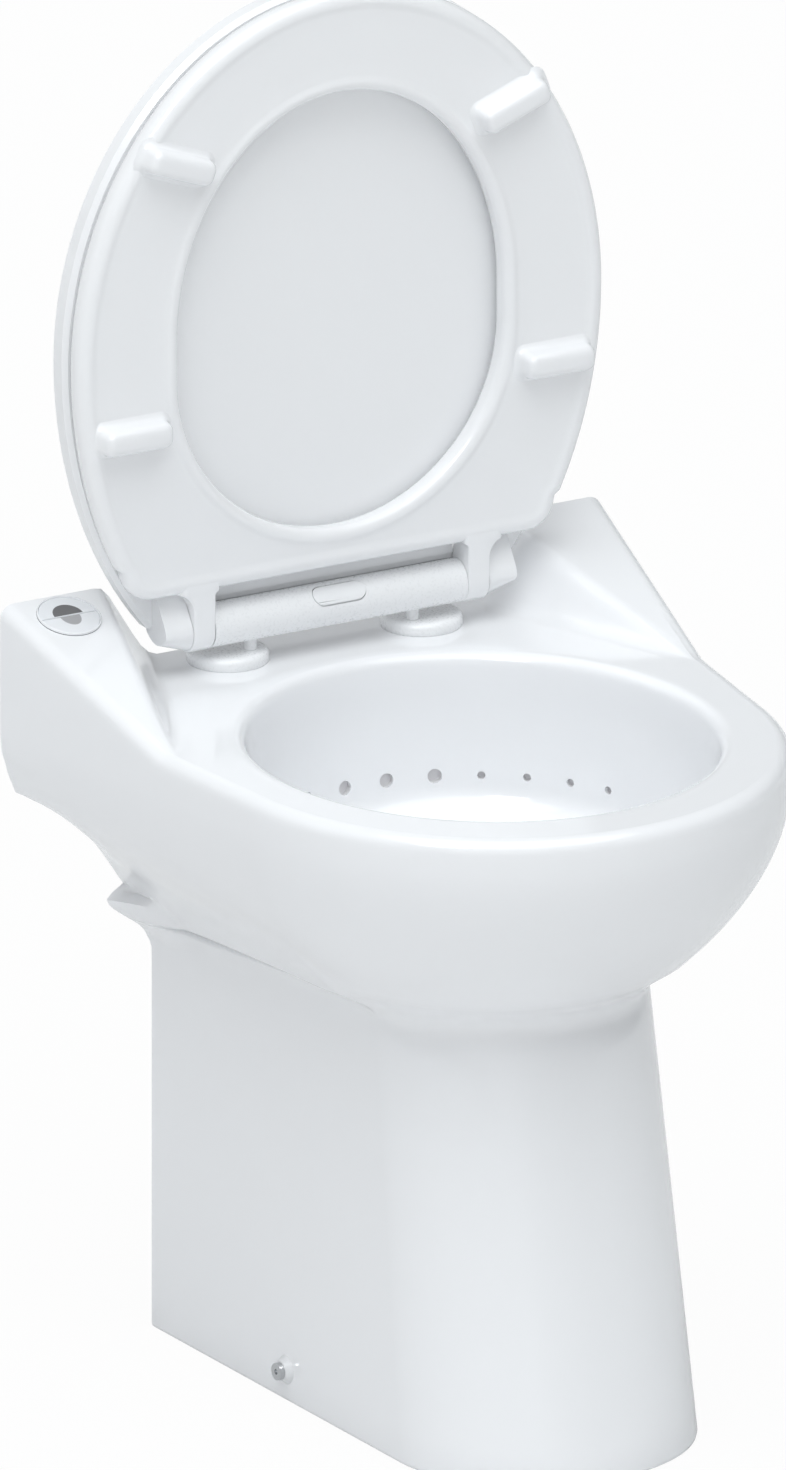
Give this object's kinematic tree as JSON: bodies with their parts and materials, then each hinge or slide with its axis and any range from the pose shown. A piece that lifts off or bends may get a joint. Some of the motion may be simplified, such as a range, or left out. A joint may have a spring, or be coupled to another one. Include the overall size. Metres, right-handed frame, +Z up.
{
  "type": "macerating toilet",
  "caption": "Floor-standing white ceramic toilet with pump unit inside its pedestal, raised lid and seat on a bar hinge, dual flush button in the shoulder, jet-rinsed bowl.",
  "frame": {"origin": "on the floor under the middle of the ceramic pan", "axes": "+Z up, +Y towards the wall, +X to the right as seen from the front"},
  "size_m": [0.422, 0.4367, 0.862],
  "materials": {
    "black_plastic": "moulded",
    "bumper_plastic": "soft white moulding",
    "button_dark": "bright metal film",
    "button_light": "bright metal film",
    "button_ring": "glossy white moulding",
    "cast_metal": "as cast",
    "glazed_ceramic": "glossy white glaze",
    "grey_plastic": "moulded",
    "hinge_plastic": "glossy white moulding",
    "laminated_iron": "laminated",
    "nylon": "plain natural nylon",
    "polished_steel": "bright plated",
    "release_plastic": "glossy white moulding",
    "rubber": "plain black",
    "seat_plastic": "glossy white moulding",
    "steel": "plain",
    "white_plastic": "plain white moulding"
  },
  "bodies": {
    "pan": {"cable_gland": "black_plastic", "ceramic_pan": "glazed_ceramic", "check_valve_body": "grey_plastic", "control_box": "black_plastic", "cover_screws": "steel", "discharge_elbow": "grey_plastic", "flush_button_housing": "button_ring", "flush_button_nut": "button_ring", "flush_button_springs": "steel", "flush_switch_block": "white_plastic", "grinder_basket": "grey_plastic", "hinge_bar": "hinge_plastic", "hinge_bolts": "steel", "hinge_cone_washers": "rubber", "hinge_dampers": "hinge_plastic", "hinge_discs": "hinge_plastic", "hinge_studs": "polished_steel", "hinge_wing_nuts": "nylon", "inlet_sleeve": "rubber", "macerator_tank": "grey_plastic", "motor_bearings": "steel", "motor_capacitor": "black_plastic", "motor_casing": "cast_metal", "motor_end_cap": "cast_metal", "motor_stator": "laminated_iron", "pressure_bell": "grey_plastic", "pressure_switch": "black_plastic", "pump_volute": "grey_plastic", "rinse_hose": "rubber", "rinse_inlet": "white_plastic", "riser_pipe": "grey_plastic", "shaft_seal": "rubber", "side_fixing_brackets": "white_plastic", "side_fixing_collars": "white_plastic", "side_fixing_screws": "polished_steel", "sleeve_clamps": "steel", "solenoid_bracket": "steel", "solenoid_coil": "black_plastic", "solenoid_valve": "white_plastic", "tank_cover": "grey_plastic", "tank_feet": "rubber", "tank_gasket": "rubber", "vent_filter": "white_plastic"},
    "lid": {"lid": "seat_plastic", "lid_bumpers": "bumper_plastic", "hinge_pins": "steel"},
    "seat": {"seat_ring": "seat_plastic", "seat_bumpers": "bumper_plastic"},
    "full_flush": {"full_flush_button": "button_dark"},
    "half_flush": {"half_flush_button": "button_light"},
    "release": {"release_button": "release_plastic"},
    "rotor": {"motor_shaft": "steel", "motor_rotor": "laminated_iron", "grinder_blade": "steel", "pump_impeller": "grey_plastic"},
    "flap": {"check_valve_flap": "rubber"}
  },
  "joints": [
    {"name": "lid_hinge", "type": "hinge", "parent": "pan", "child": "lid", "pos_m": [0, 0.1766, 0.462], "axis": [-1, 0, 0], "range_deg": [-90, 0]},
    {"name": "seat_hinge", "type": "hinge", "parent": "lid", "child": "seat", "pos_m": [0, 0.1766, 0.462], "axis": [1, 0, 0], "range_deg": [0, 90]},
    {"name": "full_flush_press", "type": "slide", "parent": "pan", "child": "full_flush", "axis": [0, 0.2905, -0.9569], "range_m": [0, 0.0025], "stiffness_N_per_m": 500, "springref_m": -0.004, "deforming": ["flush_button_springs"]},
    {"name": "half_flush_press", "type": "slide", "parent": "pan", "child": "half_flush", "axis": [0, 0.2905, -0.9569], "range_m": [0, 0.0025], "stiffness_N_per_m": 500, "springref_m": -0.004, "deforming": ["flush_button_springs"]},
    {"name": "release_press", "type": "slide", "parent": "pan", "child": "release", "axis": [0, 0.7071, -0.7071], "range_m": [0, 0.002], "stiffness_N_per_m": 500, "springref_m": -0.004},
    {"name": "motor_spin", "type": "hinge", "parent": "pan", "child": "rotor", "pos_m": [0, 0.1435, 0.186], "axis": [0, 0, 1], "continuous": true},
    {"name": "flap_swing", "type": "hinge", "parent": "pan", "child": "flap", "pos_m": [0.056, 0.192, 0.19555], "axis": [-1, 0, 0], "range_deg": [0, 60]}
  ]
}
